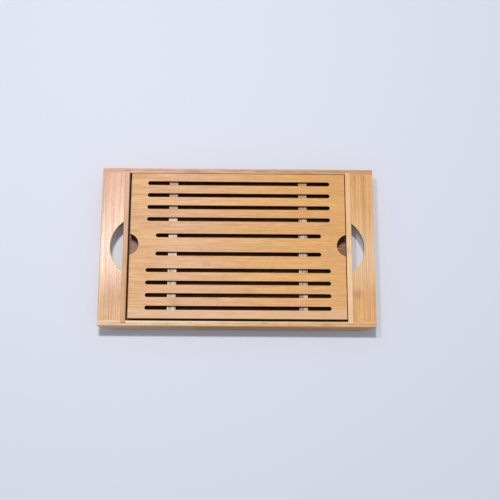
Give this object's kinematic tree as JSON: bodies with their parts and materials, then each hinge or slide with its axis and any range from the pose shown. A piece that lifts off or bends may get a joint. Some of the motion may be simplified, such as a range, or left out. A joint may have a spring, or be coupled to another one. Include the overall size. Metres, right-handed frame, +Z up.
{
  "type": "bread board",
  "caption": "Low bamboo tray with a D-shaped hand hole in each end and a slotted cutting board that lifts out of its crumb well.",
  "frame": {"origin": "middle of the tray's underside, on the table", "axes": "+X to the right along the long side, +Y to the back, +Z up"},
  "size_m": [0.42, 0.254, 0.025],
  "materials": {
    "rail_bamboo": "satin, oiled bamboo, grain along the rail",
    "plank_bamboo": "satin, laminated bamboo strips, grain front to back",
    "wall_bamboo": "satin, bamboo strip, grain front to back",
    "floor_bamboo": "plain, thin bamboo panel",
    "board_bamboo": "satin, laminated bamboo staves, grain left to right",
    "batten_bamboo": "plain, pale bamboo strip",
    "dowel_wood": "plain, pale turned wood",
    "screw_steel": "zinc plated"
  },
  "bodies": {
    "tray": {"front_rail": "rail_bamboo", "back_rail": "rail_bamboo", "left_end_plank": "plank_bamboo", "right_end_plank": "plank_bamboo", "left_well_wall": "wall_bamboo", "right_well_wall": "wall_bamboo", "crumb_floor": "floor_bamboo", "front_left_outer_dowel": "dowel_wood", "front_left_inner_dowel": "dowel_wood", "back_left_outer_dowel": "dowel_wood", "back_left_inner_dowel": "dowel_wood", "front_right_outer_dowel": "dowel_wood", "front_right_inner_dowel": "dowel_wood", "back_right_outer_dowel": "dowel_wood", "back_right_inner_dowel": "dowel_wood"},
    "insert": {"slotted_board": "board_bamboo", "left_batten": "batten_bamboo", "right_batten": "batten_bamboo", "left_front_screw": "screw_steel", "left_middle_screw": "screw_steel", "left_back_screw": "screw_steel", "right_front_screw": "screw_steel", "right_middle_screw": "screw_steel", "right_back_screw": "screw_steel"}
  },
  "joints": [
    {"name": "insert_lift", "type": "slide", "parent": "tray", "child": "insert", "axis": [0, 0, 1], "range_m": [0, 0.04]}
  ]
}
